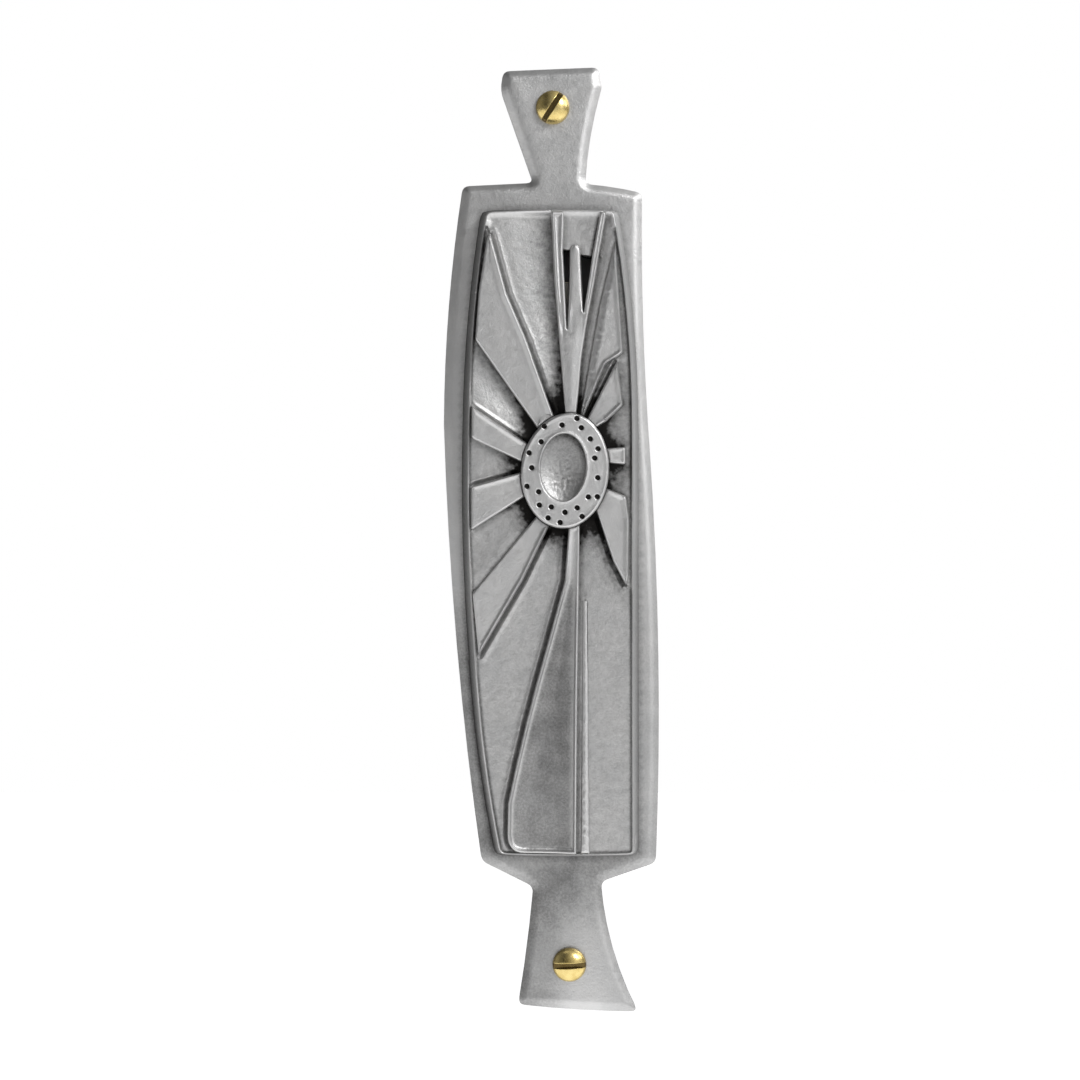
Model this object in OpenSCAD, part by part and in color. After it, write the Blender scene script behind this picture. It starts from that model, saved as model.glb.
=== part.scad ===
// Mezuzah case for a 10 cm parchment: a flat back plate with a screw tab at each end,
// a raised hollow case with a sunburst of rays round an oval medallion, a sheet back
// cover and the rolled parchment behind it.
// Origin: midway between the two wall screws, on the back face. +Z up, +Y into the wall.

/* [Back plate] */
// Thickness of the back plate and its tabs
plate_t = 3; // [2:0.1:4]
// Rise of each wall screw above or below the middle
screw_rise = 76.95; // [74:0.05:79]
// Sideways lean of each wall screw from the middle
screw_lean = 1.5; // [0:0.1:2]
// Diameter of the wall screws' clearance holes
screw_hole_d = 3.7; // [3.6:0.05:4]

/* [Raised case] */
// Depth of the case from its back to the rim of its face
face_depth = 11.6; // [10:0.1:14]
// How far the walls slope in between the plate and the face
draft = 1.3; // [0.5:0.1:2]
// Thickness of the case's walls
wall_t = 1.5; // [1.2:0.1:2]
// Depth from the back to the inner side of the face panel
panel_back = 9.2; // [8.8:0.1:9.6]
// Width of the flat rim round the sunken face
rim_w = 0.3; // [0.3:0.1:1]

/* [Rays and medallion] */
// Depth from the back to the sunken floor that the rays and the medallion stand on
seat_depth = 10; // [9.8:0.1:10.2]
// Depth from the back to the tops of the rays
ray_depth = 12.5; // [12:0.1:13]
// Depth from the back to the top of the medallion ring
ring_depth = 13.2; // [12.6:0.1:14]
// Depth from the back to the rim of the medallion dish
dish_depth = 12.2; // [11.8:0.1:12.6]
// Diameter of the dots drilled in the ring
dot_d = 0.9; // [0.6:0.1:1.2]

/* [Wall screws] */
// Thread diameter of the brass wall screws
shank_d = 3; // [2.5:0.1:3.2]
// Diameter of the plain neck under the head
neck_d = 3.4; // [3.3:0.05:3.5]
// Length of the plain neck under the head
neck_len = 3; // [3:0.5:8]
// Length of a wall screw under its head
shank_len = 20; // [16:1:30]
// Head diameter
head_d = 6.1; // [5:0.1:7]
// Head height
head_h = 2.2; // [1.5:0.1:3]
// Width of the driver slot
slot_w = 0.9; // [0.6:0.1:1.2]
// Depth of the driver slot
slot_t = 1.2; // [0.8:0.1:1.4]

/* [Back cover] */
// Thickness of the sheet back cover
cover_t = 1; // [0.8:0.1:1.2]
// Gap between the cover and the rebate it drops into
cover_gap = 0.1; // [0.05:0.05:0.3]
// Width of the ledge that the cover rests on
ledge_w = 2.6; // [2:0.1:3]
// Diameter of the small screws that hold the cover
cover_screw_d = 2; // [1.6:0.1:2.4]
// Length of the small screws
cover_screw_len = 6; // [4:0.5:7]

/* [Parchment] */
// Height of the parchment roll
roll_len = 100; // [90:1:102]
// Outer diameter of the sleeve round the roll
sleeve_d = 7.6; // [6:0.1:7.8]
// Wall of the clear sleeve
sleeve_t = 0.25; // [0.15:0.05:0.4]
// Thickness of the rolled parchment
roll_t = 1.4; // [0.8:0.1:2]

/* [Hidden] */
$fn = 64;

// Gap between the rim and the outer ends of the rays.
ray_gap = 0.03;
cavity_taper = draft * 0.85;
ring_mid = [0.6, 11.6];
dish_mid = [0.3, 12.1];
upper_boss = [-11.1, 54.9];
lower_boss = [10.6, -53.9];
boss_r = 2.5;
roll_z = -54.8;
roll_y = -(cover_t + 0.15 + sleeve_d / 2);

// Plane geometry, x to the right and z up.
function unit(v) = v / norm(v);
function side(v) = [-v[1], v[0]];

// A shallow curve from a to b that bulges to the right of its travel by s.
function bow(a, b, s, n = 8) = [
    for (i = [0:n - 1])
        let (t = i / n)
        a + (b - a) * t - side(unit(b - a)) * s * 4 * t * (1 - t)
];

// A rounded corner at b between the edges from a and to c.
function corner(a, b, c, r, n) = [
    for (i = [0:n])
        let (t = i / n)
        b + unit(a - b) * r * pow(1 - t, 2) + unit(c - b) * r * pow(t, 2)
];

// The outline p with each sharp corner rounded over a length r.
function soft(p, r, n = 4) = [
    for (i = [0:len(p) - 1])
        let (
            a = p[(i + len(p) - 1) % len(p)],
            b = p[i],
            c = p[(i + 1) % len(p)],
            reach = min(r, 0.45 * norm(b - a), 0.45 * norm(c - b))
        )
        each (unit(b - a) * unit(c - b) < 0.9 ? corner(a, b, c, reach, n) : [b])
];

// The outline p moved inwards by d.
function inset(p, d) = [
    for (i = [0:len(p) - 1])
        let (
            u = side(unit(p[i] - p[(i + len(p) - 1) % len(p)])),
            v = side(unit(p[(i + 1) % len(p)] - p[i]))
        )
        p[i] + (u + v) * d / (1 + u * v)
];

// Ellipse with half axes a and b round the point c, turned by t.
function oval(c, a, b, t, n = 60) = [
    for (i = [0:n - 1])
        let (x = a * cos(i * 360 / n), z = b * sin(i * 360 / n))
        c + [x * cos(t) - z * sin(t), x * sin(t) + z * cos(t)]
];

// A plate with a straight edge, from depth y0 to depth y1.
module slab(p, y0, y1) {
    translate([0, -y0, 0])
        rotate([90, 0, 0])
            linear_extrude(y1 - y0)
                polygon(p);
}

// A solid through a list of levels, each [outline, depth], with outlines of equal length.
module stack(levels) {
    n = len(levels[0][0]);
    top = len(levels) - 1;
    polyhedron(
        points = [for (l = levels) each [for (p = l[0]) [p[0], -l[1], p[1]]]],
        faces = concat(
            [[for (i = [0:n - 1]) i]],
            [[for (i = [n - 1:-1:0]) top * n + i]],
            [
                for (k = [0:top - 1])
                    each [
                        for (i = [0:n - 1])
                            let (j = (i + 1) % n)
                            [k * n + i, (k + 1) * n + i, (k + 1) * n + j, k * n + j]
                    ]
            ]
        )
    );
}

// A round bar along Y, from depth y0 to depth y1.
module bar(c, r, y0, y1) {
    translate([c[0], -y0, c[1]])
        rotate([90, 0, 0])
            cylinder(r = r, h = y1 - y0);
}

// Outlines, counter-clockwise as seen from the front.
plate_edge = concat(
    bow([17.1, -58.8], [16, 15.5], 1),
    bow([16, 15.5], [14.6, 61.8], -0.5),
    bow([14.6, 61.8], [4.4, 63.4], 0.2, 3),
    bow([4.4, 63.4], [7.3, 80.8], -0.5, 4),
    [[7.3, 80.8], [6.8, 84.4]],
    bow([-10.4, 83.7], [-10.9, 80.4], 0, 1),
    bow([-10.9, 80.4], [-5, 63.6], 0, 2),
    [[-5, 63.6]],
    bow([-17.7, 63], [-21.1, 20], 0.8),
    bow([-21.1, 20], [-14.3, -58.5], 1.1),
    [[-14.3, -58.5]],
    bow([-5, -63.1], [-7.7, -84.3], -0.2, 3),
    bow([-7.7, -84.3], [13.8, -85.6], 0.3, 4),
    bow([13.8, -85.6], [7.2, -62.2], -1.2, 6),
    [[7.2, -62.2]]
);

case_base = concat(
    bow([14, -57.3], [13.9, 19], 0, 6),
    bow([13.9, 19], [10.3, 58.6], 0.9),
    bow([10.3, 58.6], [-14.4, 58.4], 0.3, 6),
    bow([-14.4, 58.4], [-17.7, 20], 0.7),
    bow([-17.7, 20], [-16.7, -20], 0.5),
    bow([-16.7, -20], [-11.9, -57.3], 0.7),
    bow([-11.9, -57.3], [14, -57.3], 0.3, 6)
);

ring_edge = [
    for (i = [0:71])
        let (
            t = i * 5,
            flat = 1 - 0.05 * pow(max(0, cos(t - 128)), 4),
            p = [7.8 * cos(t), 10.3 * sin(t)] * flat
        )
        ring_mid + [p[0] * cos(4) + p[1] * sin(4), p[1] * cos(4) - p[0] * sin(4)]
];
dish_edge = oval(dish_mid, 4, 5.9, -4);

// Rays: each one that meets the ring shares its points with the ring's outline.
function at_ring(first, last) = [for (i = [first:-1:last]) ring_edge[i]];

fork = concat(
    at_ring(19, 16),
    [
        [3.1, 26], [3.5, 31], [4.4, 37], [5.9, 45], [8, 56.6], [6.9, 56.6],
        [5.4, 49.4], [3.9, 39.2], [3.4, 50.3], [2.4, 51.5], [1.4, 50.3],
        [1.3, 43.4], [1, 36.2], [0.3, 50.3], [0.5, 56.6], [-1.9, 56.6],
        [-1.3, 45], [-0.3, 33]
    ]
);
left_slot = [[1, 36.2], [1.3, 43.4], [1.4, 50.3], [0.3, 50.3]];
right_slot = [[3.9, 39.2], [5.3, 49], [3.45, 49.4]];
upper_left = concat(
    [[-15.2, 34.6]],
    at_ring(27, 22),
    [[-6.2, 34.7], [-9.6, 42.6], [-12.6, 53.6], [-13.2, 52.2], [-14.6, 42.9]]
);
left_upper = concat([[-15.8, 17.2]], at_ring(35, 31), [[-15.8, 22.9]]);
left_lower = concat([[-15.9, 1]], at_ring(42, 37), [[-15.9, 8.8]]);
lower_left = concat([[-15.7, -10], [-14.6, -21.2], [-6.8, -7.8]], at_ring(51, 47));
lower_wedge = concat(
    [[-9.6, -53.9], [2.6, -55], [2.8, -27]],
    at_ring(59, 56),
    [[0.6, -7.8]],
    bow([-2.5, -19.1], [-9.4, -47], 0.3, 4),
    [[-9.4, -47]]
);
rib = [[3.4, -55], [5, -55], [4.6, -11.3], [3.8, -11.3]];
lower_right = concat(
    [[9.1, -4.4], [11.4, -8.8], [11.8, -7], [11.9, 3.2], [11.4, 7]],
    at_ring(69, 64)
);
side_bar = concat([[11.3, 12.6], [11.3, 15.7]], at_ring(5, 2));
right_wedge = concat([[7.9, 20.2], [10.9, 23.1], [9.8, 31]], at_ring(13, 10));
upper_right = concat(
    [[7.9, 30.3], [10.9, 32.3], [9.5, 52], [6.8, 41.1], [5.2, 32.1]],
    at_ring(15, 14)
);

// Inner edge of the rim, and its left and right sides as tables of x against z.
rim_edge = inset(case_base, draft + rim_w);
left_side = [for (p = rim_edge) if (p[0] < 0) [p[1], p[0]]];
right_side = [for (p = rim_edge) if (p[0] > 0) [p[1], p[0]]];

// The outline p drawn in where it would run under the rim.
function within_rim(p) = [
    for (q = p)
        let (
            low = lookup(q[1], left_side) + ray_gap,
            high = lookup(q[1], right_side) - ray_gap
        )
        [min(max(q[0], low), high), q[1]]
];

// One ray: an upright bar from the panel's floor to its flat top.
module ray(p) {
    slab(soft(within_rim(p), 0.5), seat_depth, ray_depth);
}

// Round-head wood screw with a slotted dome, its point at the +Y end.
module wall_screw(x, z, turn) {
    dome_r = (pow(head_d / 2, 2) + pow(head_h, 2)) / (2 * head_h);
    translate([x, -plate_t, z])
        rotate([90, 0, 0])
            difference() {
                union() {
                    intersection() {
                        translate([0, 0, head_h - dome_r])
                            sphere(r = dome_r);
                        cylinder(d = head_d, h = head_h + 1);
                    }
                    translate([0, 0, -neck_len])
                        cylinder(d = neck_d, h = neck_len + 0.5);
                    translate([0, 0, -shank_len + 3])
                        cylinder(d = shank_d, h = shank_len - 3.5);
                    translate([0, 0, -shank_len])
                        cylinder(d1 = 0.4, d2 = shank_d, h = 3);
                }
                rotate([0, 0, turn])
                    translate([-head_d, -slot_w / 2, head_h - slot_t])
                        cube([2 * head_d, slot_w, slot_t + 1]);
            }
}

// Small countersunk screw for the cover, its cross recess facing the wall.
module cover_screw(c) {
    r = cover_screw_d / 2;
    difference() {
        union() {
            translate([c[0], 0, c[1]])
                rotate([90, 0, 0])
                    cylinder(r1 = 1.9, r2 = r, h = cover_t);
            bar(c, r, cover_t, cover_screw_len);
        }
        for (turn = [0, 90])
            translate([c[0], 0, c[1]])
                rotate([0, turn, 0])
                    translate([-1, -0.6, -0.2])
                        cube([2, 1, 0.4]);
    }
}

// Flat plate with two screw tabs, a window, and a ledge and rebate for the cover.
module back_plate() {
    color("silver")
        difference() {
            slab(soft(plate_edge, 1.2), 0, plate_t);
            slab(soft(inset(case_base, cover_gap), 1.5), -1, cover_t);
            translate([0, -cover_t / 2, 0])
                rotate([90, 0, 0])
                    linear_extrude(plate_t)
                        offset(delta = 0.01)
                            difference() {
                                polygon(soft(inset(case_base, ledge_w), 1));
                                for (c = [upper_boss, lower_boss])
                                    translate(c)
                                        circle(boss_r);
                            }
            for (c = [upper_boss, lower_boss])
                bar(c, cover_screw_d / 2 + 0.05, cover_t / 4, plate_t + 1.5);
            for (s = [-1, 1])
                bar([-s * screw_lean, s * screw_rise], screw_hole_d / 2, -1, plate_t + 1);
        }
}

// Sloping side walls of the raised case, with the two posts the cover screws bite.
module case_walls() {
    floor_edge = inset(case_base, wall_t);
    color("silver")
        difference() {
            union() {
                difference() {
                    stack([
                        [soft(case_base, 1), plate_t],
                        [soft(inset(case_base, cavity_taper), 1), panel_back]
                    ]);
                    stack([
                        [soft(floor_edge, 1), plate_t - 0.1],
                        [soft(inset(floor_edge, cavity_taper), 1), panel_back + 0.1]
                    ]);
                }
                for (c = [upper_boss, lower_boss])
                    bar(c, boss_r, plate_t, panel_back);
            }
            for (c = [upper_boss, lower_boss])
                bar(c, cover_screw_d / 2 + 0.05, plate_t - 1, cover_screw_len + 0.5);
        }
}

// Face panel: a rim round a sunken floor, pierced by two slots beside the middle prong.
module face_panel() {
    color("silver")
        difference() {
            stack([
                [soft(inset(case_base, cavity_taper), 1), panel_back],
                [soft(inset(case_base, draft), 1), face_depth]
            ]);
            slab(soft(rim_edge, 0.8), seat_depth, face_depth + 1);
            slab(left_slot, panel_back - 1, seat_depth + 0.2);
            slab(right_slot, panel_back - 1, seat_depth + 0.2);
        }
}

module fork_ray() {
    color("silver")
        ray(fork);
}

module upper_left_ray() {
    color("silver")
        ray(upper_left);
}

module left_upper_ray() {
    color("silver")
        ray(left_upper);
}

module left_lower_ray() {
    color("silver")
        ray(left_lower);
}

module lower_left_ray() {
    color("silver")
        ray(lower_left);
}

module lower_wedge_ray() {
    color("silver")
        ray(lower_wedge);
}

module lower_rib() {
    color("silver")
        ray(rib);
}

module lower_right_ray() {
    color("silver")
        ray(lower_right);
}

module right_bar() {
    color("silver")
        ray(side_bar);
}

module right_ray() {
    color("silver")
        ray(right_wedge);
}

module upper_right_ray() {
    color("silver")
        ray(upper_right);
}

// Angle round the ring of each drilled dot and how far out it sits, 1 at the outer edge.
dots = [
    [17, 0.7], [26, 0.83], [43, 0.78], [63, 0.81], [73, 0.92], [95, 0.77], [122, 0.88],
    [138, 0.72], [160, 0.86], [177, 0.75], [198, 0.9], [212, 0.7], [226, 0.83],
    [244, 0.7], [245, 0.9], [263, 0.9], [270, 0.72], [293, 0.7], [296, 0.88],
    [319, 0.7], [328, 0.86], [350, 0.75]
];

// Oval ring with a bevelled outer and inner edge and its drilled dots.
module medallion_ring() {
    color("silver")
        difference() {
            stack([
                [ring_edge, seat_depth],
                [ring_edge, ring_depth - 0.5],
                [inset(ring_edge, 0.5), ring_depth]
            ]);
            slab(dish_edge, seat_depth - 1, ring_depth + 1);
            for (d = dots)
                bar(
                    ring_mid + [7.8 * cos(d[0]), 10.3 * sin(d[0])] * d[1],
                    dot_d / 2, ring_depth - 0.6, ring_depth + 1
                );
        }
}

// Hollowed oval in the middle of the ring.
module medallion_dish() {
    color("silver")
        difference() {
            slab(dish_edge, seat_depth, dish_depth);
            translate([dish_mid[0], -dish_depth - 17.4, dish_mid[1]])
                sphere(r = 18.6, $fn = 200);
        }
}

module top_screw() {
    color("goldenrod")
        wall_screw(-screw_lean, screw_rise, 57);
}

module bottom_screw() {
    color("goldenrod")
        wall_screw(screw_lean, -screw_rise, 2);
}

// Sheet cover that closes the back, countersunk for its two screws.
module back_cover() {
    color("gainsboro")
        difference() {
            slab(soft(inset(case_base, 2 * cover_gap), 1.5), 0, cover_t);
            for (c = [upper_boss, lower_boss])
                translate([c[0], 0.001, c[1]])
                    rotate([90, 0, 0])
                        cylinder(r1 = 1.96, r2 = cover_screw_d / 2 + 0.06, h = cover_t + 0.002);
        }
}

module cover_screw_upper() {
    color("darkgray")
        cover_screw(upper_boss);
}

module cover_screw_lower() {
    color("darkgray")
        cover_screw(lower_boss);
}

// Parchment rolled into a tube, standing on the lower end of the case.
module parchment_roll() {
    r = sleeve_d / 2 - sleeve_t;
    color("wheat")
        translate([0, roll_y, roll_z])
            difference() {
                cylinder(r = r, h = roll_len);
                translate([0, 0, -1])
                    cylinder(r = r - roll_t, h = roll_len + 2);
            }
}

// Thin clear sleeve that keeps the roll closed.
module clear_sleeve() {
    color("lightcyan")
        translate([0, roll_y, roll_z])
            difference() {
                cylinder(d = sleeve_d, h = roll_len);
                translate([0, 0, -1])
                    cylinder(r = sleeve_d / 2 - sleeve_t, h = roll_len + 2);
            }
}

back_plate();
case_walls();
face_panel();
fork_ray();
upper_left_ray();
left_upper_ray();
left_lower_ray();
lower_left_ray();
lower_wedge_ray();
lower_rib();
lower_right_ray();
right_bar();
right_ray();
upper_right_ray();
medallion_ring();
medallion_dish();
top_screw();
bottom_screw();
back_cover();
cover_screw_upper();
cover_screw_lower();
parchment_roll();
clear_sleeve();
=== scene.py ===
"""Mezuzah case: visible surfaces, materials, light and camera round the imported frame."""

import math

import bmesh
import bpy
import numpy as np
from mathutils import Matrix, Vector, noise
from mathutils.geometry import delaunay_2d_cdt
from mathutils.kdtree import KDTree


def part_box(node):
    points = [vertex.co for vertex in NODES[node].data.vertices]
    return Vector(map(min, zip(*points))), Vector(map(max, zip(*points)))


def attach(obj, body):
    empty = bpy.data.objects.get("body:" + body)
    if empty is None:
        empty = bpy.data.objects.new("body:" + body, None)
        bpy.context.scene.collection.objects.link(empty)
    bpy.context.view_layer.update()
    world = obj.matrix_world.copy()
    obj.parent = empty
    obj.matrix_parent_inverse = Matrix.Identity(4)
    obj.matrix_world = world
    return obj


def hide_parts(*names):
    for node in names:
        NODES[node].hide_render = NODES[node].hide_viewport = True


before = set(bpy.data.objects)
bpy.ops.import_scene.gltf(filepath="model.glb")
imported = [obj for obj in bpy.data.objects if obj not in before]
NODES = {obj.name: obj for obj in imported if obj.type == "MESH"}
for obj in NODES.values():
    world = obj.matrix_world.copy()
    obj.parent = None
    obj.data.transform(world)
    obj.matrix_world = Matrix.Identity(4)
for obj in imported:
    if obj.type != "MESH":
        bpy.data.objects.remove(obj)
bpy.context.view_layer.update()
MM = 0.001
PLATE_T = 3.0  # thickness of the back plate, in mm
CHUNK = 1500  # points measured against the loops at a time
SMOOTH_BELOW = 32  # angle in degrees under which an edge is shaded smooth

# ---------------------------------------------------------------- outlines


def depth_range(node):
    """Shallowest and deepest y of a node, as mm in front of the wall."""
    low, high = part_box(node)
    return -high.y / MM, -low.y / MM


def axis_of(node):
    """Middle of a node across the wall, as (x, z) in mm."""
    low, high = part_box(node)
    return (low.x + high.x) / 2 / MM, (low.z + high.z) / 2 / MM


def cap_loops(node, depth, tol=0.004):
    """Outlines (x, z in mm) of a node's flat faces at one depth, largest first."""
    mesh = NODES[node].data
    co = np.empty(len(mesh.vertices) * 3, np.float32)
    mesh.vertices.foreach_get("co", co)
    co = co.reshape(-1, 3).astype(float) / MM
    edges, place = {}, {}
    for poly in mesh.polygons:
        pts = co[list(poly.vertices)]
        if np.abs(pts[:, 1] + depth).max() > tol:
            continue
        keys = [(round(p[0] * 1000), round(p[2] * 1000)) for p in pts]
        for key, p in zip(keys, pts):
            place[key] = (p[0], p[2])
        for a, b in zip(keys, keys[1:] + keys[:1]):
            if edges.pop((b, a), None) is None:
                edges[(a, b)] = True
    follow = {}
    for a, b in edges:
        follow.setdefault(a, []).append(b)
    loops = []
    while follow:
        start = next(iter(follow))
        chain = [start]
        while follow.get(chain[-1]):
            nexts = follow[chain[-1]]
            b = nexts.pop()
            if not nexts:
                del follow[chain[-1]]
            if b == start:
                break
            chain.append(b)
        if len(chain) > 2:
            loops.append(np.array([place[k] for k in chain]))
    return sorted((tidy(p) for p in loops), key=lambda p: -abs(area(p)))


def area(p):
    """Signed area of a loop."""
    x, z = p.T
    return 0.5 * float(np.sum(x * np.roll(z, -1) - z * np.roll(x, -1)))


def tidy(p, least=0.02):
    """A loop, anticlockwise, without points closer than least."""
    if area(p) < 0:
        p = p[::-1]
    keep = [p[0]]
    for q in p[1:]:
        if np.hypot(*(q - keep[-1])) > least:
            keep.append(q)
    if np.hypot(*(keep[-1] - keep[0])) <= least:
        keep.pop()
    return np.array(keep)


def finer(p, step):
    """A loop with extra points so that none are further apart than step."""
    out = []
    for a, b in zip(p, np.roll(p, -1, 0)):
        n = max(1, math.ceil(np.hypot(*(b - a)) / step))
        out.extend(a + (b - a) * k / n for k in range(n))
    return np.array(out)


def oval(cx, cz, rx, rz, n=64):
    """An ellipse as a loop."""
    t = np.arange(n) * 2 * math.pi / n
    return np.stack([cx + rx * np.cos(t), cz + rz * np.sin(t)], 1)


def normals(p):
    """Unit outward normals at the points of an anticlockwise loop."""
    d = np.roll(p, -1, 0) - p
    d /= np.maximum(np.hypot(*d.T), 1e-9)[:, None]
    e = np.stack([d[:, 1], -d[:, 0]], 1)
    n = e + np.roll(e, 1, 0)
    return n / np.maximum(np.hypot(*n.T), 1e-9)[:, None]


def distance(pts, loops):
    """Distance of each point to the loops, whether it lies inside, and the way out or on."""
    a = np.concatenate(loops)
    b = np.concatenate([np.roll(p, -1, 0) for p in loops])
    ab = b - a
    size = np.maximum((ab**2).sum(1), 1e-12)
    out = np.stack([ab[:, 1], -ab[:, 0]], 1) / np.sqrt(size)[:, None]
    far, inside, normal = [], [], []
    for i in range(0, len(pts), CHUNK):
        q = pts[i : i + CHUNK]
        ap = q[:, None] - a[None]
        t = np.clip((ap * ab).sum(2) / size, 0, 1)
        gap = ap - t[..., None] * ab
        d2 = (gap**2).sum(2)
        near = d2.argmin(1)
        pick = np.arange(len(q)), near
        d = np.sqrt(d2[pick])
        far.append(d)
        x, z = q[:, None, 0], q[:, None, 1]
        cut = (a[:, 1] > z) != (b[:, 1] > z)
        run = np.where(np.abs(ab[:, 1]) < 1e-12, 1e-12, ab[:, 1])
        hit = cut & (x < ab[:, 0] * (z - a[:, 1]) / run + a[:, 0])
        within = hit.sum(1) % 2 == 1
        inside.append(within)
        away = gap[pick] * np.where(within, -1, 1)[:, None] / np.maximum(d, 1e-9)[:, None]
        normal.append(np.where(d[:, None] > 1e-3, away, out[near]))
    return np.concatenate(far), np.concatenate(inside), np.concatenate(normal)


def step(a, b, x):
    """Smooth step from 0 at a to 1 at b."""
    t = np.clip((x - a) / (b - a), 0, 1)
    return t * t * (3 - 2 * t)


def round_edge(d, wide, high):
    """Drop of a rounded edge at distance d inside it."""
    t = np.clip(1 - d / wide, 0, 1)
    return high * (1 - np.sqrt(np.maximum(0, 1 - t * t)))


def ripple(p, size, seed=0.0):
    """Smooth noise from -1 to 1 at 2D points, with features of the given size."""
    return np.array([noise.noise(Vector((x / size, z / size, seed))) for x, z in p])


# ---------------------------------------------------------------- meshes


def grid_points(loop, gap, margin):
    """Points on a grid, slightly staggered, that lie inside a loop by a margin."""
    lo, hi = loop.min(0), loop.max(0)
    xs = np.arange(lo[0], hi[0], gap)
    zs = np.arange(lo[1], hi[1], gap * 0.87)
    x, z = np.meshgrid(xs, zs)
    x = x + (np.arange(len(zs)) % 2)[:, None] * gap / 2
    p = np.stack([x.ravel(), z.ravel()], 1)
    d, inside, _ = distance(p, [loop])
    return p[inside & (d > margin)]


def edge_points(loop, insets):
    """Points set in from a loop by each of the insets, none nearer to it than that."""
    n = normals(loop)
    out = []
    for t in insets:
        q = loop - n * t
        d, inside, _ = distance(q, [loop])
        out.append(q[inside & (d > t * 0.93)])
    return np.concatenate(out)


def triangulate(loops, extra):
    """Delaunay triangles through the loops' edges and the extra points."""
    pts, edges = [], []
    for p in loops:
        n, k = len(p), len(pts)
        pts.extend(p.tolist())
        edges.extend((k + i, k + (i + 1) % n) for i in range(n))
    pts.extend(extra.tolist())
    made = delaunay_2d_cdt([Vector(q) for q in pts], edges, [], 0, 1e-5)
    verts = np.array([tuple(v) for v in made[0]])
    tri = np.array([f for f in made[2] if len(f) == 3])
    a, b, c = verts[tri[:, 0]], verts[tri[:, 1]], verts[tri[:, 2]]
    turn = (b - a)[:, 0] * (c - a)[:, 1] - (b - a)[:, 1] * (c - a)[:, 0]
    tri[turn < 0] = tri[turn < 0][:, ::-1]
    return verts, tri[np.abs(turn) > 1e-9]


def ring_label(mid, outer, inner):
    """0 for the points between two loops, -1 for the others."""
    return np.where(distance(mid, [outer])[1] & ~distance(mid, [inner])[1], 0, -1)


def solid(name, verts, tri, label, tops, bottoms, spread=None, shade=SMOOTH_BELOW):
    """A closed mesh over a plan: each label has its own front and back height in mm.

    tops[label] and bottoms[label] take the plan's points and give depths; spread moves
    the back rim sideways, given the rim's points and outward normals."""
    keep = label >= 0
    tri, label = tri[keep], label[keep]
    points, faces, front, back = [], [], {}, {}
    owner = {}
    for t, lab in zip(tri.tolist(), label.tolist()):
        for i in range(3):
            owner[(t[i], t[(i + 1) % 3])] = lab
    rim = [(a, b) for (a, b) in owner if (b, a) not in owner]
    move = np.zeros_like(verts)
    if spread:
        n = np.zeros_like(verts)
        for a, b in rim:
            d = verts[b] - verts[a]
            e = np.array([d[1], -d[0]]) / max(np.hypot(*d), 1e-9)
            n[a] += e
            n[b] += e
        size = np.hypot(*n.T)
        on = size > 0
        n[on] /= size[on][:, None]
        move[on] = spread(verts[on], n[on])
    for lab in sorted(set(label.tolist())):
        used = np.unique(tri[label == lab])
        q = verts[used]
        ft, bt = tops[lab](q), bottoms[lab](q)
        base = len(points)
        points.extend(zip(q[:, 0], -ft, q[:, 1]))
        for i, v in enumerate(used.tolist()):
            front[(lab, v)] = base + i
        base = len(points)
        qb = q + move[used]
        points.extend(zip(qb[:, 0], -bt, qb[:, 1]))
        for i, v in enumerate(used.tolist()):
            back[(lab, v)] = base + i
    for t, lab in zip(tri.tolist(), label.tolist()):
        faces.append([front[(lab, v)] for v in t])
        faces.append([back[(lab, v)] for v in reversed(t)])
    for a, b in rim:
        lab = owner[(a, b)]
        faces.append([front[(lab, a)], back[(lab, a)], back[(lab, b)], front[(lab, b)]])
    for (a, b), lab in owner.items():
        other = owner.get((b, a), lab)
        if other == lab or a > b:
            continue
        for side, flip in ((front, False), (back, True)):
            quad = [side[(lab, a)], side[(other, a)], side[(other, b)], side[(lab, b)]]
            if flip:
                quad = [quad[1], quad[0], quad[3], quad[2]]
            ys = [points[k][1] for k in quad]
            if max(abs(ys[0] - ys[1]), abs(ys[2] - ys[3])) > 1e-5:
                faces.append(quad)
    return mesh_object(name, points, faces, shade)


def mesh_object(name, points, faces, shade=SMOOTH_BELOW):
    """A Blender object from points in mm, joined where points meet."""
    co = np.array(points, float)
    key = np.round(co, 4)
    _, first, back = np.unique(key, axis=0, return_index=True, return_inverse=True)
    back = back.ravel()
    co = co[first] * MM
    clean, seen = [], set()
    for f in faces:
        g = [int(back[i]) for i in f]
        g = [v for i, v in enumerate(g) if v != g[i - 1]]
        if len(set(g)) < 3 or len(set(g)) != len(g):
            continue
        mark = tuple(sorted(g))
        if mark in seen:
            continue
        seen.add(mark)
        clean.append(g)
    mesh = bpy.data.meshes.new(name)
    mesh.from_pydata(co.tolist(), [], clean)
    mesh.validate()
    mesh.shade_smooth()
    mesh.set_sharp_from_angle(angle=math.radians(shade))
    obj = bpy.data.objects.new(name, mesh)
    bpy.context.scene.collection.objects.link(obj)
    return obj


def level(value):
    """A flat height."""
    return lambda p: np.full(len(p), float(value))


def darken(obj, function):
    """Writes function(points in mm) into the mesh as the attribute that the metals darken by:
    partly antique patina in hollows, partly painted shade in recesses, creases, inner faces and on
    sides turned from the light.
    """
    mesh = obj.data
    co = np.empty(len(mesh.vertices) * 3, np.float32)
    mesh.vertices.foreach_get("co", co)
    values = function(co.reshape(-1, 3).astype(float) / MM)
    found = mesh.attributes.new("patina_and_shade", "FLOAT", "POINT")
    found.data.foreach_set("value", np.clip(values, 0, 1).astype(np.float32))


def place(obj, body, slot, material, *nodes):
    """Gives a piece its material and body, and hides the CAD nodes it stands for; the slot argument
    is not used.
    """
    obj.data.materials.append(material)
    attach(obj, body)
    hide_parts(*nodes)


# ---------------------------------------------------------------- materials


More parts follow.
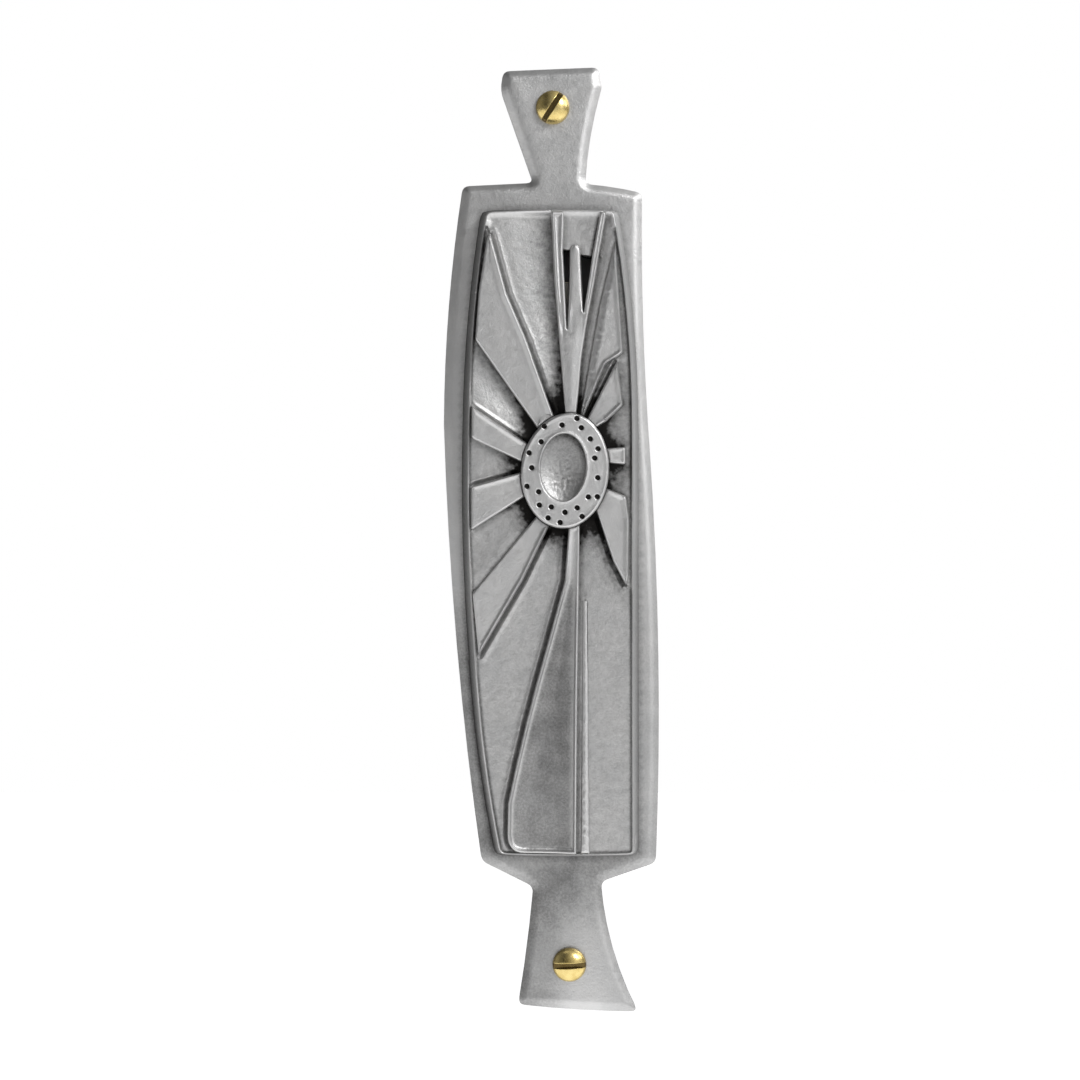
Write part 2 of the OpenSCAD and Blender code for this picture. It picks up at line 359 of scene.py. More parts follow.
class Nodes:
    """Short helper round a material's node tree."""

    def __init__(self, name):
        self.material = bpy.data.materials.new(name)
        self.material.use_nodes = True
        self.tree = self.material.node_tree
        self.shader = self.tree.nodes["Principled BSDF"]
        self.coord = self.tree.nodes.new("ShaderNodeTexCoord").outputs["Object"]

    def add(self, kind, **values):
        node = self.tree.nodes.new(kind)
        for key, value in values.items():
            if key in node.inputs:
                self.feed(node.inputs[key], value)
            else:
                setattr(node, key, value)
        return node

    def feed(self, socket, value):
        if isinstance(value, bpy.types.NodeSocket):
            self.tree.links.new(value, socket)
        else:
            socket.default_value = value

    def noise(self, scale, detail=4.0, rough=0.55, stretch=None):
        vector = self.coord
        if stretch:
            mapping = self.add("ShaderNodeMapping", Vector=self.coord)
            mapping.inputs["Scale"].default_value = stretch
            vector = mapping.outputs[0]
        node = self.add("ShaderNodeTexNoise", Vector=vector, Scale=scale)
        node.inputs["Detail"].default_value = detail
        node.inputs["Roughness"].default_value = rough
        return node.outputs["Fac"]

    def math(self, operation, a, b):
        node = self.tree.nodes.new("ShaderNodeMath")
        node.operation = operation
        for socket, value in zip(node.inputs, (a, b)):
            self.feed(socket, value)
        return node.outputs[0]

    def ramp(self, value, low, high, to_low=0.0, to_high=1.0):
        node = self.tree.nodes.new("ShaderNodeMapRange")
        for socket, v in zip(node.inputs, (value, low, high, to_low, to_high)):
            self.feed(socket, v)
        return node.outputs[0]

    def mix(self, factor, a, b):
        node = self.tree.nodes.new("ShaderNodeMix")
        node.data_type = "RGBA"
        self.feed(node.inputs[0], factor)
        self.feed(node.inputs[6], a)
        self.feed(node.inputs[7], b)
        return node.outputs[2]

    def attribute(self, name):
        return self.add("ShaderNodeAttribute", attribute_name=name).outputs["Fac"]

    def bump(self, height, distance, strength, normal=None):
        node = self.tree.nodes.new("ShaderNodeBump")
        node.inputs["Strength"].default_value = strength
        node.inputs["Distance"].default_value = distance
        self.feed(node.inputs["Height"], height)
        if normal is not None:
            self.feed(node.inputs["Normal"], normal)
        return node.outputs[0]

    def set(self, **values):
        for key, value in values.items():
            self.feed(self.shader.inputs[key.replace("_", " ")], value)
        return self.material


def grey(v, warm=0.0):
    """A grey, a little red or blue."""
    return (v + warm, v, v - warm, 1.0)


def cast_metal(name):
    """Satin cast metal with a fine sandy skin, soft blotches and dark recesses, partly antique
    patina and partly painted shade.
    """
    n = Nodes(name)
    light = 0.62
    cloud = n.ramp(n.noise(160, 3), 0.35, 0.65)
    fleck = n.ramp(n.noise(2600, 4, 0.6), 0.36, 0.64)
    tone = n.mix(cloud, grey(light * 0.92), grey(light, 0.004))
    tone = n.mix(n.math("MULTIPLY", fleck, 0.16), tone, grey(light * 0.75))
    rough = n.ramp(n.noise(900, 4), 0.3, 0.7, 0.36, 0.47)
    # Darkening from the mesh attribute: antique patina in the hollows mixed with painted shade in
    # creases, recesses, inner faces and on sides turned from the light.
    amount = n.attribute("patina_and_shade")
    grit = n.math("MULTIPLY", n.math("SUBTRACT", fleck, 0.5), 0.14)
    ragged = n.math("ADD", amount, n.math("MULTIPLY", grit, n.ramp(amount, 0.0, 0.3)))
    dark = n.math("POWER", n.ramp(ragged, 0.03, 0.95), 0.85)
    tone = n.mix(dark, tone, grey(0.02, 0.001))
    rough = n.math("ADD", rough, n.math("MULTIPLY", dark, 0.12))
    sand = n.bump(n.noise(2600, 6, 0.65), 0.00008, 0.7)
    dents = n.bump(n.noise(420, 3), 0.00009, 0.45, sand)
    pits = n.ramp(n.noise(700, 2), 0.70, 0.78, 1.0, 0.0)
    skin = n.bump(pits, 0.00004, 0.4, dents)
    return n.set(Base_Color=tone, Metallic=1.0, Roughness=rough, Normal=skin)


def brass(name):
    """Polished brass with faint turning marks, and dark brown painted shade in its slot and round
    the rim at the foot of its head.
    """
    n = Nodes(name)
    cloud = n.noise(700, 3)
    tone = n.mix(n.ramp(cloud, 0.35, 0.7), (0.79, 0.63, 0.27, 1), (0.62, 0.47, 0.17, 1))
    # painted shade: the slot's floor and the rim at the foot of the head turned dark brown
    dark = n.attribute("patina_and_shade")
    tone = n.mix(n.math("MULTIPLY", dark, 0.9), tone, (0.06, 0.035, 0.012, 1))
    rough = n.ramp(n.noise(2500, 3), 0.3, 0.7, 0.18, 0.32)
    skin = n.bump(n.noise(4200, 3), 0.00002, 0.5)
    return n.set(Base_Color=tone, Metallic=1.0, Roughness=rough, Normal=skin)


def sheet_metal(name):
    """Rolled aluminium sheet with brush lines along its length."""
    n = Nodes(name)
    lines = n.noise(60, 6, 0.7, (90, 90, 1.2))
    tone = n.mix(n.ramp(lines, 0.3, 0.7), grey(0.52), grey(0.68))
    tone = n.mix(n.ramp(n.noise(90, 3), 0.55, 0.8, 0, 0.25), tone, grey(0.36))
    # painted shade: the face turned into the case made near-black
    tone = n.mix(n.attribute("patina_and_shade"), tone, grey(0.03, 0.001))
    rough = n.ramp(lines, 0.3, 0.7, 0.34, 0.5)
    skin = n.bump(lines, 0.00003, 0.6)
    return n.set(Base_Color=tone, Metallic=1.0, Roughness=rough, Normal=skin)


def zinc(name):
    """Zinc-plated steel of the small cover screws."""
    n = Nodes(name)
    tone = n.mix(n.ramp(n.noise(900, 3), 0.3, 0.7), (0.50, 0.51, 0.53, 1), (0.66, 0.66, 0.64, 1))
    rough = n.ramp(n.noise(2600, 3), 0.3, 0.7, 0.25, 0.4)
    skin = n.bump(n.noise(5200, 3), 0.00002, 0.4)
    return n.set(Base_Color=tone, Metallic=1.0, Roughness=rough, Normal=skin)


def parchment(name):
    """Scraped skin: cream, faintly mottled, with a dry grain."""
    n = Nodes(name)
    mottle = n.ramp(n.noise(220, 5), 0.3, 0.7)
    tone = n.mix(mottle, (0.74, 0.63, 0.44, 1), (0.86, 0.78, 0.60, 1))
    tone = n.mix(n.ramp(n.noise(1600, 4), 0.6, 0.75, 0, 0.4), tone, (0.56, 0.43, 0.27, 1))
    skin = n.bump(n.noise(2800, 5, 0.6), 0.00008, 0.6)
    return n.set(Base_Color=tone, Roughness=0.72, Normal=skin)


def film(name):
    """Thin clear plastic film with faint scuffs."""
    n = Nodes(name)
    rough = n.ramp(n.noise(500, 4), 0.4, 0.75, 0.06, 0.22)
    skin = n.bump(n.noise(240, 2), 0.00006, 0.4)
    n.material.surface_render_method = "BLENDED"
    return n.set(
        Base_Color=(0.93, 0.95, 0.96, 1),
        Roughness=rough,
        Normal=skin,
        IOR=1.45,
        Alpha=0.28,
    )


# ---------------------------------------------------------------- back plate and walls


WALL_FOOT = finer(cap_loops("case_walls", PLATE_T)[0], 0.7)


def build_plate(material):
    """Back plate: chamfered front edge, leaning tabs, screw holes, window and rebate."""
    back, front = depth_range("back_plate")
    outer = cap_loops("back_plate", front)
    rebate = 1.0  # depth of the ledge that the cover rests on
    ledge = finer(cap_loops("back_plate", rebate)[0], 0.8)
    edge, *holes = [finer(p, 0.6) for p in outer]
    rows = edge_points(edge, (0.04, 0.12, 0.24, 0.4, 0.6, 0.85, 1.2, 1.8))
    extra = np.concatenate([rows, grid_points(edge, 1.1, 1.9)])
    verts, tri = triangulate([edge, ledge] + holes, extra)
    mid = verts[tri].mean(1)
    inside = distance(mid, [edge])[1]
    for p in holes:
        inside &= ~distance(mid, [p])[1]
    label = np.where(inside, np.where(distance(mid, [ledge])[1], 1, 0), -1)

    def top(p):
        d = distance(p, [edge])[0]
        x, z = p.T
        wave = 0.07 * ripple(p, 9.0) + 0.015 * ripple(p, 2.2, 4.0)
        lean = 0.26 * np.exp(-(((x + 10) / 4.5) ** 2)) * step(58, 64, z)
        lean -= 0.28 * np.exp(-(((x + 6.5) / 5) ** 2)) * step(-62, -68, z)
        chamfer = 0.95 * np.clip(1 - d / 1.35, 0, 1) ** 1.25
        return front - 0.1 - chamfer - 0.2 * (x / 19) ** 2 + (wave + lean) * step(0, 3, d)

    bottoms = [level(back), level(rebate)]
    obj = solid("back_plate_cast", verts, tri, label, [top, top], bottoms)

    # Painted shade on the plate's front: a dark band along the foot of the walls, and darker
    # patches low down, mostly on the left, with ragged edges.
    def patina_and_shade(co):
        p = co[:, [0, 2]]
        foot = distance(p, [WALL_FOOT])[0]
        x, z = p.T
        low = 0.44 * np.exp(-(((x - 1) / 11) ** 2) - ((z + 61) / 9) ** 2)
        low += 0.40 * step(-4, -14, x) * step(-4, -24, z) * step(-64, -54, z)
        low += 0.46 * step(4, -9, x) * step(-60, -68, z)
        low += 0.14 * step(4, 14, x) * step(0, -22, z)
        low *= 1 + 0.35 * ripple(p, 3.0, 5.0)
        return (0.30 * np.exp(-((foot / 0.45) ** 2)) + low) * (co[:, 1] < -1.5)

    darken(obj, patina_and_shade)
    place(obj, "case", "cast_metal", material, "back_plate")


def build_walls(material):
    """Sloping side walls with a soft foot, and the two screw posts inside."""
    foot, head = depth_range("case_walls")
    outer = finer(cap_loops("case_walls", head)[0], 0.6)
    wall_t, sunk = 1.5, 0.25  # width of the walls' top, and their foot's depth in the plate
    inner = finer(inset_loop(outer, wall_t), 0.6)
    verts, tri = triangulate([outer, inner], np.zeros((0, 2)))
    label = ring_label(verts[tri].mean(1), outer, inner)

    def spread(p, n):
        out = distance(p, [outer])[0] < 0.01
        reach = distance(p, [WALL_FOOT])[0]
        return n * np.where(out, reach, -1.1)[:, None]

    bottoms = [level(foot - sunk)]
    obj = solid("case_walls_cast", verts, tri, label, [level(head)], bottoms, spread)
    obj = join(obj, [post_mesh(c, foot, head) for c in post_centres()])

    # Painted shade on the walls: the left wall dark and darker towards the bottom, the lower right
    # wall a little dark, darker towards the foot, and the inner faces dark.
    def patina_and_shade(co):
        d, inside, _ = distance(co[:, [0, 2]], [outer])
        shaded = (0.46 + 0.10 * step(-15, -40, co[:, 2])) * step(-5, -11, co[:, 0])
        shaded += 0.14 * step(5, 11, co[:, 0]) * step(5, -8, co[:, 2])
        outside = shaded + 0.3 * np.exp(-(-co[:, 1] - foot) / 0.8)
        return np.where(inside & (d > 0.3), 0.4, outside)

    darken(obj, patina_and_shade)
    place(obj, "case", "cast_metal", material, "case_walls")


def inset_loop(p, d):
    """A loop moved inwards by d, for a loop with no tight bends."""
    return tidy(p - normals(p) * d, 0.15)


def post_centres():
    """Centres of the two screw posts, from the cover screws that go into them."""
    return [axis_of("cover_screw_upper"), axis_of("cover_screw_lower")]


def post_mesh(centre, foot, head):
    """A screw post with its blind bore."""
    size, bore, end, top = 2.5, 1.05, 6.5, head - 0.05
    rows = [(size, foot), (size, top), (0.01, top), (0.01, end), (bore, end), (bore, foot)]
    return lathe("post", centre, rows, 36, closed=True)


def lathe(name, centre, rows, steps, closed=False, wobble=None, shade=SMOOTH_BELOW):
    """A turned shape: rows are (radius, depth) in mm, the axis runs along the depth."""
    points, faces = [], []
    for r, depth in rows:
        for i in range(steps):
            t = 2 * math.pi * i / steps
            rr = r + (wobble(t, depth) if wobble else 0)
            points.append((centre[0] + rr * math.cos(t), -depth, centre[1] + rr * math.sin(t)))
    last = len(rows) if closed else len(rows) - 1
    for j in range(last):
        k = (j + 1) % len(rows)
        for i in range(steps):
            m = (i + 1) % steps
            faces.append([j * steps + i, j * steps + m, k * steps + m, k * steps + i])
    if not closed:
        faces.append(list(range(steps))[::-1])
        faces.append([(len(rows) - 1) * steps + i for i in range(steps)])
    obj = mesh_object(name, points, faces, shade)
    outward(obj)
    return obj


def outward(obj):
    """Turns a closed mesh's faces so that they all look outwards."""
    bm = bmesh.new()
    bm.from_mesh(obj.data)
    bmesh.ops.recalc_face_normals(bm, faces=bm.faces)
    bm.to_mesh(obj.data)
    bm.free()


def join(obj, others):
    """Joins meshes into the first one."""
    bm = bmesh.new()
    bm.from_mesh(obj.data)
    for o in others:
        bm.from_mesh(o.data)
        bpy.data.objects.remove(o)
    bm.to_mesh(obj.data)
    bm.free()
    obj.data.set_sharp_from_angle(angle=math.radians(SMOOTH_BELOW))
    return obj


# ---------------------------------------------------------------- face

SEAT, CREST = depth_range("fork_ray")
RING = cap_loops("medallion_ring", depth_range("medallion_ring")[0])
MIDDLE = RING[0].mean(0)
FACE = depth_range("face_panel")[1]
RIM = cap_loops("face_panel", FACE)[0]
FIELD_LOW = 10.0  # depth that the field sinks to beside the ring

# What lies beside each ray, on its clockwise and then its anticlockwise side: the height
# of the field at its foot, the depth of the groove along it, the height of the ridge
# beyond the groove and its distance, how dark the foot is and how far that reaches.
# The dark foot is painted shade along the crease at the ray's side, with antique patina in the deep
# corners.
BESIDE = {
    "fork_ray": ((10.7, 0.3, 0.0, 0.9, 0.65, 0.6), (10.4, 0.0, 0.0, 0.9, 1.1, 2.5)),
    "upper_left_ray": ((11.2, 0.55, 0.12, 1.0, 0.55, 0.4), (10.5, 0.1, 0.0, 0.6, 1.0, 1.2)),
    "left_upper_ray": ((11.3, 0.3, 0.30, 0.5, 0.0, 0.3), (10.9, 0.1, 0.0, 0.8, 0.4, 0.5)),
    "left_lower_ray": ((11.1, 0.5, 0.12, 0.8, 0.15, 0.4), (11.1, 0.2, 0.0, 0.8, 0.5, 0.4)),
    "lower_left_ray": ((11.3, 0.1, 0.0, 0.8, 0.45, 0.3), (11.2, 0.6, 0.20, 0.9, 0.40, 0.4)),
    "lower_wedge_ray": ((11.0, 0.5, 0.16, 0.9, 0.50, 0.5), (11.0, 0.3, 0.0, 0.9, 0.35, 0.4)),
    "lower_rib": ((11.0, 0.0, 0.0, 0.9, 0.15, 0.3), (11.15, 0.0, 0.0, 0.9, 0.10, 0.3)),
    "lower_right_ray": ((10.7, 0.3, 0.20, 0.9, 1.1, 1.3), (11.2, 0.2, 0.0, 0.9, 0.30, 0.5)),
    "right_bar": ((10.4, 0.0, 0.0, 0.9, 0.75, 1.2), (10.5, 0.0, 0.0, 0.9, 0.65, 1.2)),
    "right_ray": ((10.5, 0.0, 0.0, 0.9, 0.75, 1.2), (10.8, 0.3, 0.15, 0.6, 0.85, 0.6)),
    "upper_right_ray": ((10.8, 0.2, 0.0, 0.9, 0.60, 0.5), (10.9, 0.1, 0.0, 0.9, 0.45, 0.5)),
}


def fingertip(p):
    """The fork's outline with a round end to its middle prong."""
    end = (p[:, 0] > 0.9) & (p[:, 0] < 4) & (p[:, 1] > 49.6) & (p[:, 1] < 52)
    first = int(np.argmax(end & ~np.roll(end, 1)))
    p = np.roll(p, -first, 0)[int(end.sum()) :]
    t = np.radians(np.arange(0, 181, 20))
    return np.concatenate([p, np.stack([2.42 + np.cos(t), 49.9 + 1.5 * np.sin(t)], 1)])


def to_rim(p, far_end=53.4, gap=0.33):
    """An outline whose top or bottom end is drawn out until it meets the rim."""
    p = p.copy()
    for _ in range(40):
        short = (np.abs(p[:, 1]) > far_end) & (distance(p, [RIM])[0] > gap)
        p[short, 1] += np.sign(p[short, 1]) * 0.05
    return p


def round_corner(p, corner, reach):
    """An outline with one corner turned into a curve that starts reach away from it."""
    p = finer(p, 0.3)
    first = int(np.hypot(*(p - corner).T).argmin())
    p = np.roll(p, -first, 0)
    near = np.hypot(*(p - p[0]).T) < reach
    ahead = int(np.argmin(near))
    behind = len(p) - int(np.argmin(near[::-1]))
    t = np.linspace(0, 1, 9)[:, None]
    curve = (1 - t) ** 2 * p[behind - 1] + 2 * t * (1 - t) * p[0] + t**2 * p[ahead]
    return np.concatenate([curve, p[ahead + 1 : behind - 1]])


def ray_outlines():
    """Outlines of all rays: long ones meet the rim, and the wedge has one round corner."""
    out = {name: cap_loops(name, SEAT)[0] for name in BESIDE}
    out["fork_ray"] = fingertip(out["fork_ray"])
    for name in ("fork_ray", "lower_wedge_ray", "lower_rib"):
        out[name] = to_rim(out[name])
    wedge = out["lower_wedge_ray"]
    lower_left = wedge[np.argmin(wedge.sum(1))]
    out["lower_wedge_ray"] = round_corner(wedge, lower_left, 3.0)
    return out


OUTLINE = ray_outlines()
SLOTS = cap_loops("face_panel", depth_range("face_panel")[0])[1:]


def field(p):
    """Height and darkness of the field between the rays.

    Facets climb from one ray to the next and sink towards the ring; each ray has its
    own groove and ridge beside it. The darkness is partly antique patina in the deep
    corners and partly painted shade along the creases, round the ring and at the slots."""
    total, weight, trim, dark = np.zeros((4, len(p)))
    ring = distance(p, [RING[0]])[0]
    edge = distance(p, [RIM])[0]
    near_ring = np.exp(-ring / 10)
    for name, (clockwise, anticlockwise) in BESIDE.items():
        d, _, n = distance(p, [OUTLINE[name]])
        axis = OUTLINE[name].mean(0) - MIDDLE
        axis /= np.hypot(*axis)
        left = step(-0.2, 0.2, axis[0] * n[:, 1] - axis[1] * n[:, 0])[:, None]
        values = np.array(clockwise) * (1 - left) + np.array(anticlockwise) * left
        height, groove, ridge, at, foot, reach = values.T
        near = near_ring
        if name == "fork_ray":
            between = (p[:, 1] > 49.3) & (p[:, 0] > 0.2) & (p[:, 0] < 7)
            right = p[:, 0] > 4
            height = np.where(between, 11.2, height)
            # painted shadow: a thin dark line down the left edge of the fork's right prong, fainter
            # along the left prong
            foot = np.where(between, np.where(right, 1.0, 0.35), foot)
            reach = np.where(between, 0.25, reach)
            groove = np.where(between, 0.1, groove)
            near = np.where(between, 1.0, near_ring)
        beside = 1 - step(0.6, 0.95, n @ axis)
        w = 1 / (d + 0.06) ** 2
        total += w * height
        weight += w
        lip = ridge * np.exp(-(((d - at) / 0.32) ** 2)) - groove * np.exp(-((d / 0.5) ** 2))
        trim += lip * beside
        # painted shade at each ray's foot, stronger near the ring, with antique patina in the deep
        # corners
        dark += foot * np.exp(-d / reach) * (0.4 + 0.6 * near) * (0.3 + 0.7 * beside)
    h = total / weight
    h = FIELD_LOW + (h - FIELD_LOW) * (1 - 0.75 * np.exp(-ring / 3.2))
    # darkening round the ring where the field sinks, weaker on the lit right side: partly antique
    # patina, partly painted shade
    around = 1.2 - 0.6 * step(7.5, 9, p[:, 0])
    dark += around * np.exp(-((ring / 2.7) ** 1.5)) * step(11.6, 10.9, h)
    # a little darkening over all the field, more towards the bottom
    dark += 0.10 + 0.06 * step(2, -6, p[:, 1])
    dark *= 1 + 0.5 * ripple(p, 0.75, 11.0) + 0.3 * ripple(p, 2.2, 12.0)
    h = h + trim * step(0.0, 1.2, ring) * step(0.0, 1.2, edge)
    wide = np.where(p[:, 1] > 54.5, 1.3, 0.45)
    h = h + (FACE - 0.1 - h) * (1 - step(0.05, wide, edge))
    lip = np.maximum(distance(p, SLOTS)[0] + 0.05 * ripple(p, 0.8, 8.0), 0)
    h = h - round_edge(lip, 0.45, 0.6)
    # painted shade at the edges of the pierced slots
    dark += 0.9 * step(0.35, 0.05, lip)
    # painted shade: a thin dark line along the foot of the rim
    rim_foot_shade = 0.5 * np.exp(-(((edge - 0.42) / 0.25) ** 2)) * (p[:, 1] < 54)
    return h, dark * step(0.05, wide + 0.2, edge) + rim_foot_shade


def build_panel(material):
    """Face panel: rim, sloping fields round the level floors of the rays, pierced slots."""
    back = depth_range("face_panel")[0]
    rim = finer(RIM, 0.35)
    slots = [finer(p, 0.3) for p in SLOTS]
    covered = [RING[0], *OUTLINE.values()]
    hidden = [finer(p, 0.35) for p in covered]
    grid = grid_points(RIM, 0.4, 0.9)
    grid = grid[distance(grid, covered)[0] > 1.35]
    rows = np.concatenate(
        [outside_points(p, (0.15, 0.32, 0.5, 0.68, 0.86, 1.04, 1.25)) for p in hidden]
    )
    gap, inside, _ = distance(rows, [RIM])
    rows = rows[inside & (gap > 0.3)]
    for p in covered:
        gap, inside, _ = distance(rows, [p])
        rows = rows[~inside & (gap > 0.12)]
    grid = grid[distance(grid, slots)[0] > 0.2]
    rows = rows[distance(rows, slots)[0] > 0.1]
    edge_rows = edge_points(rim, (0.03, 0.09, 0.18, 0.3, 0.43, 0.56, 0.7, 0.86))
    extra = np.concatenate([edge_rows, grid, rows])
    verts, tri = triangulate([rim] + hidden + slots, extra)
    mid = verts[tri].mean(1)
    label = np.where(distance(mid, [RIM])[1], 0, -1)
    for p in covered:
        label[distance(mid, [p])[1] & (label == 0)] = 1
    for p in slots:
        label[distance(mid, [p])[1]] = -1
    height, dark = field(verts)
    edge = distance(verts, [RIM])[0]
    height += (0.03 * ripple(verts, 1.1) + 0.04 * ripple(verts, 5.0, 7.0)) * step(0.1, 0.6, edge)
    height -= round_edge(edge, 0.3, 0.3)
    obj = solid(
        "face_panel_cast",
        verts,
        tri,
        label,
        [lookup(verts, height), level(SEAT)],
        [level(back), level(back)],
        lambda p, n: n * np.where(distance(p, [RIM])[0] < 0.01, 0.19, 0)[:, None],
    )
    shade = lookup(verts, dark)

    # painted shade: the pierced slots' walls black, and the panel's back face, inside the case,
    # dark
    def patina_and_shade(co):
        p = co[:, [0, 2]]
        in_slot = distance(p, slots)[0] < 0.01
        under = np.where(-co[:, 1] < SEAT - 0.1, 0.4, shade(p))
        return np.where(in_slot, 1.0, under)

    darken(obj, patina_and_shade)
    place(obj, "case", "cast_metal", material, "face_panel")


def lookup(points, values):
    """A function that returns the value stored for the plan point nearest to each point."""
    tree = KDTree(len(points))
    for i, (x, z) in enumerate(points):
        tree.insert((x, z, 0), i)
    tree.balance()
    return lambda p: np.array([values[tree.find((x, z, 0))[1]] for x, z in p])


def flat(p, d, n):
    """Plain ray top: a low bead just inside a rounded edge."""
    lift = 0.10 * np.exp(-(((d - 0.35) / 0.25) ** 2))
    return CREST - 0.2 + lift - round_edge(d, 0.3, 0.55)


def crested(direction, wide=0.5, high=0.4, slope=0.0, grain=0.0):
    """Ray top with a crest along the edges that face a direction, and a rough slope opposite."""
    toward = np.array(direction) / np.hypot(*direction)

    def shape(p, d, n):
        facing = n @ toward
        lift = high * np.exp(-(((d - 0.4) / wide) ** 2)) * step(0.2, 0.6, facing)
        away = step(0.3, 0.7, -facing) * (1 - step(0.1, 1.3, d))
        rough = grain * ripple(p, 0.5, 6.0) * step(2.6, 0.6, d) * (facing < 0)
        return CREST - 0.38 + lift - slope * away + rough - round_edge(d, 0.35, 0.6)

    return shape


def trough(p, d, n):
    """Wedge: sunken between a narrow ridge all round, deeper away from the ring."""
    near = step(0, 14, MIDDLE[1] - 10.3 - p[:, 1])
    sides = OUTLINE["lower_wedge_ray"].copy()
    sides[sides[:, 1] < -53, 1] -= 15
    across = distance(p, [sides])[0]
    fall = 0.6 * step(0.3, 0.8, d) + 0.4 * step(0.8, 4.0, across)
    return CREST - 0.2 - fall * (0.25 + 0.75 * near) - round_edge(d, 0.25, 0.5)


def fork(p, d, n):
    """Fork: a grooved left prong, a rounded middle prong and a smooth right one."""
    tall = step(34, 40, p[:, 1])
    left = (p[:, 0] < 0.62) * tall
    middle = ((p[:, 0] > 0.9) & (p[:, 0] < 3.9)) * step(37, 44, p[:, 1])
    groove = 0.40 * step(0.38, 0.75, d) * left
    low = (0.25 + 0.6 * round_edge(d, 0.8, 0.6)) * middle
    lift = 0.10 * np.exp(-(((d - 0.3) / 0.25) ** 2)) * (1 - middle)
    swell = 0.14 * step(0.3, 1.8, d) * (1 - tall)
    return CREST - 0.15 + lift * tall + swell - groove - low - round_edge(d, 0.35, 0.55)


def rib(p, d, n):
    """Low rough rib that grows downwards."""
    rough = 0.10 * ripple(p, 0.9, 3.0) + 0.05 * ripple(p, 0.4, 5.0)
    down = step(-12, -50, p[:, 1])
    return 11.2 + 0.75 * down - round_edge(d, 0.8, 0.3 + 0.3 * down) + rough * (0.4 + 0.6 * down)


TOPS = {
    "fork_ray": fork,
    "upper_left_ray": crested((1, 0.35)),
    "left_upper_ray": crested((0.3, 1), 0.3, 0.3),
    "left_lower_ray": crested((0, 1), 0.3, 0.15),
    "lower_left_ray": crested((1, -0.6), 0.25, 0.25),
    "lower_wedge_ray": trough,
    "lower_rib": rib,
    "upper_right_ray": crested((1, 0.1), 0.25, 0.3, 0.5, 0.12),
    "right_ray": crested((1, 0.2), 0.25, 0.3),
    "lower_right_ray": crested((1, 0.1), 0.3, 0.25),
}


def build_ray(name, material):
    """One ray: its shaped top over straight sides down to its seat."""
    rough_loop = OUTLINE[name]
    loop = finer(rough_loop, 0.3)
    extra = [
        edge_points(loop, (0.03, 0.08, 0.15, 0.24, 0.34, 0.48, 0.65, 0.9)),
        grid_points(rough_loop, 0.36, 1.0),
    ]
    verts, tri = triangulate([loop], np.concatenate(extra))
    label = np.where(distance(verts[tri].mean(1), [rough_loop])[1], 0, -1)
    shape = TOPS.get(name, flat)

    def top(p):
        d, _, n = distance(p, [rough_loop])
        return np.minimum(shape(p, d, n) + 0.03 * ripple(p, 3.0, 2.0), CREST + 0.05)

    obj = solid(name + "_cast", verts, tri, label, [top], [level(SEAT)])

    # Painted shade: the ray's sides darker towards their foot and a dark band where it meets the
    # ring; the wedge's sunken middle is dark, partly antique patina, partly painted shade.
    def patina_and_shade(co):
        p = co[:, [0, 2]]
        d = distance(p, [rough_loop])[0]
        side = np.clip((11.7 + co[:, 1]) / 1.6, 0, 1) * (d < 0.02) * 0.8
        side *= step(0.2, 1.4, distance(p, [RIM])[0])
        shade_and_patina_in_hollows = 0.25 * np.exp(-distance(p, [RING[0]])[0] / 0.8)
        if name == "lower_wedge_ray":
            along = step(-1, -12, p[:, 1]) * (1 - 0.2 * step(-32, -50, p[:, 1]))
            shade_and_patina_in_hollows += (0.55 + 0.15 * ripple(p, 3.5, 9.0)) * step(0.35, 1.5, d) * along
        return side + shade_and_patina_in_hollows

    darken(obj, patina_and_shade)
    place(obj, "case", "cast_metal", material, name)


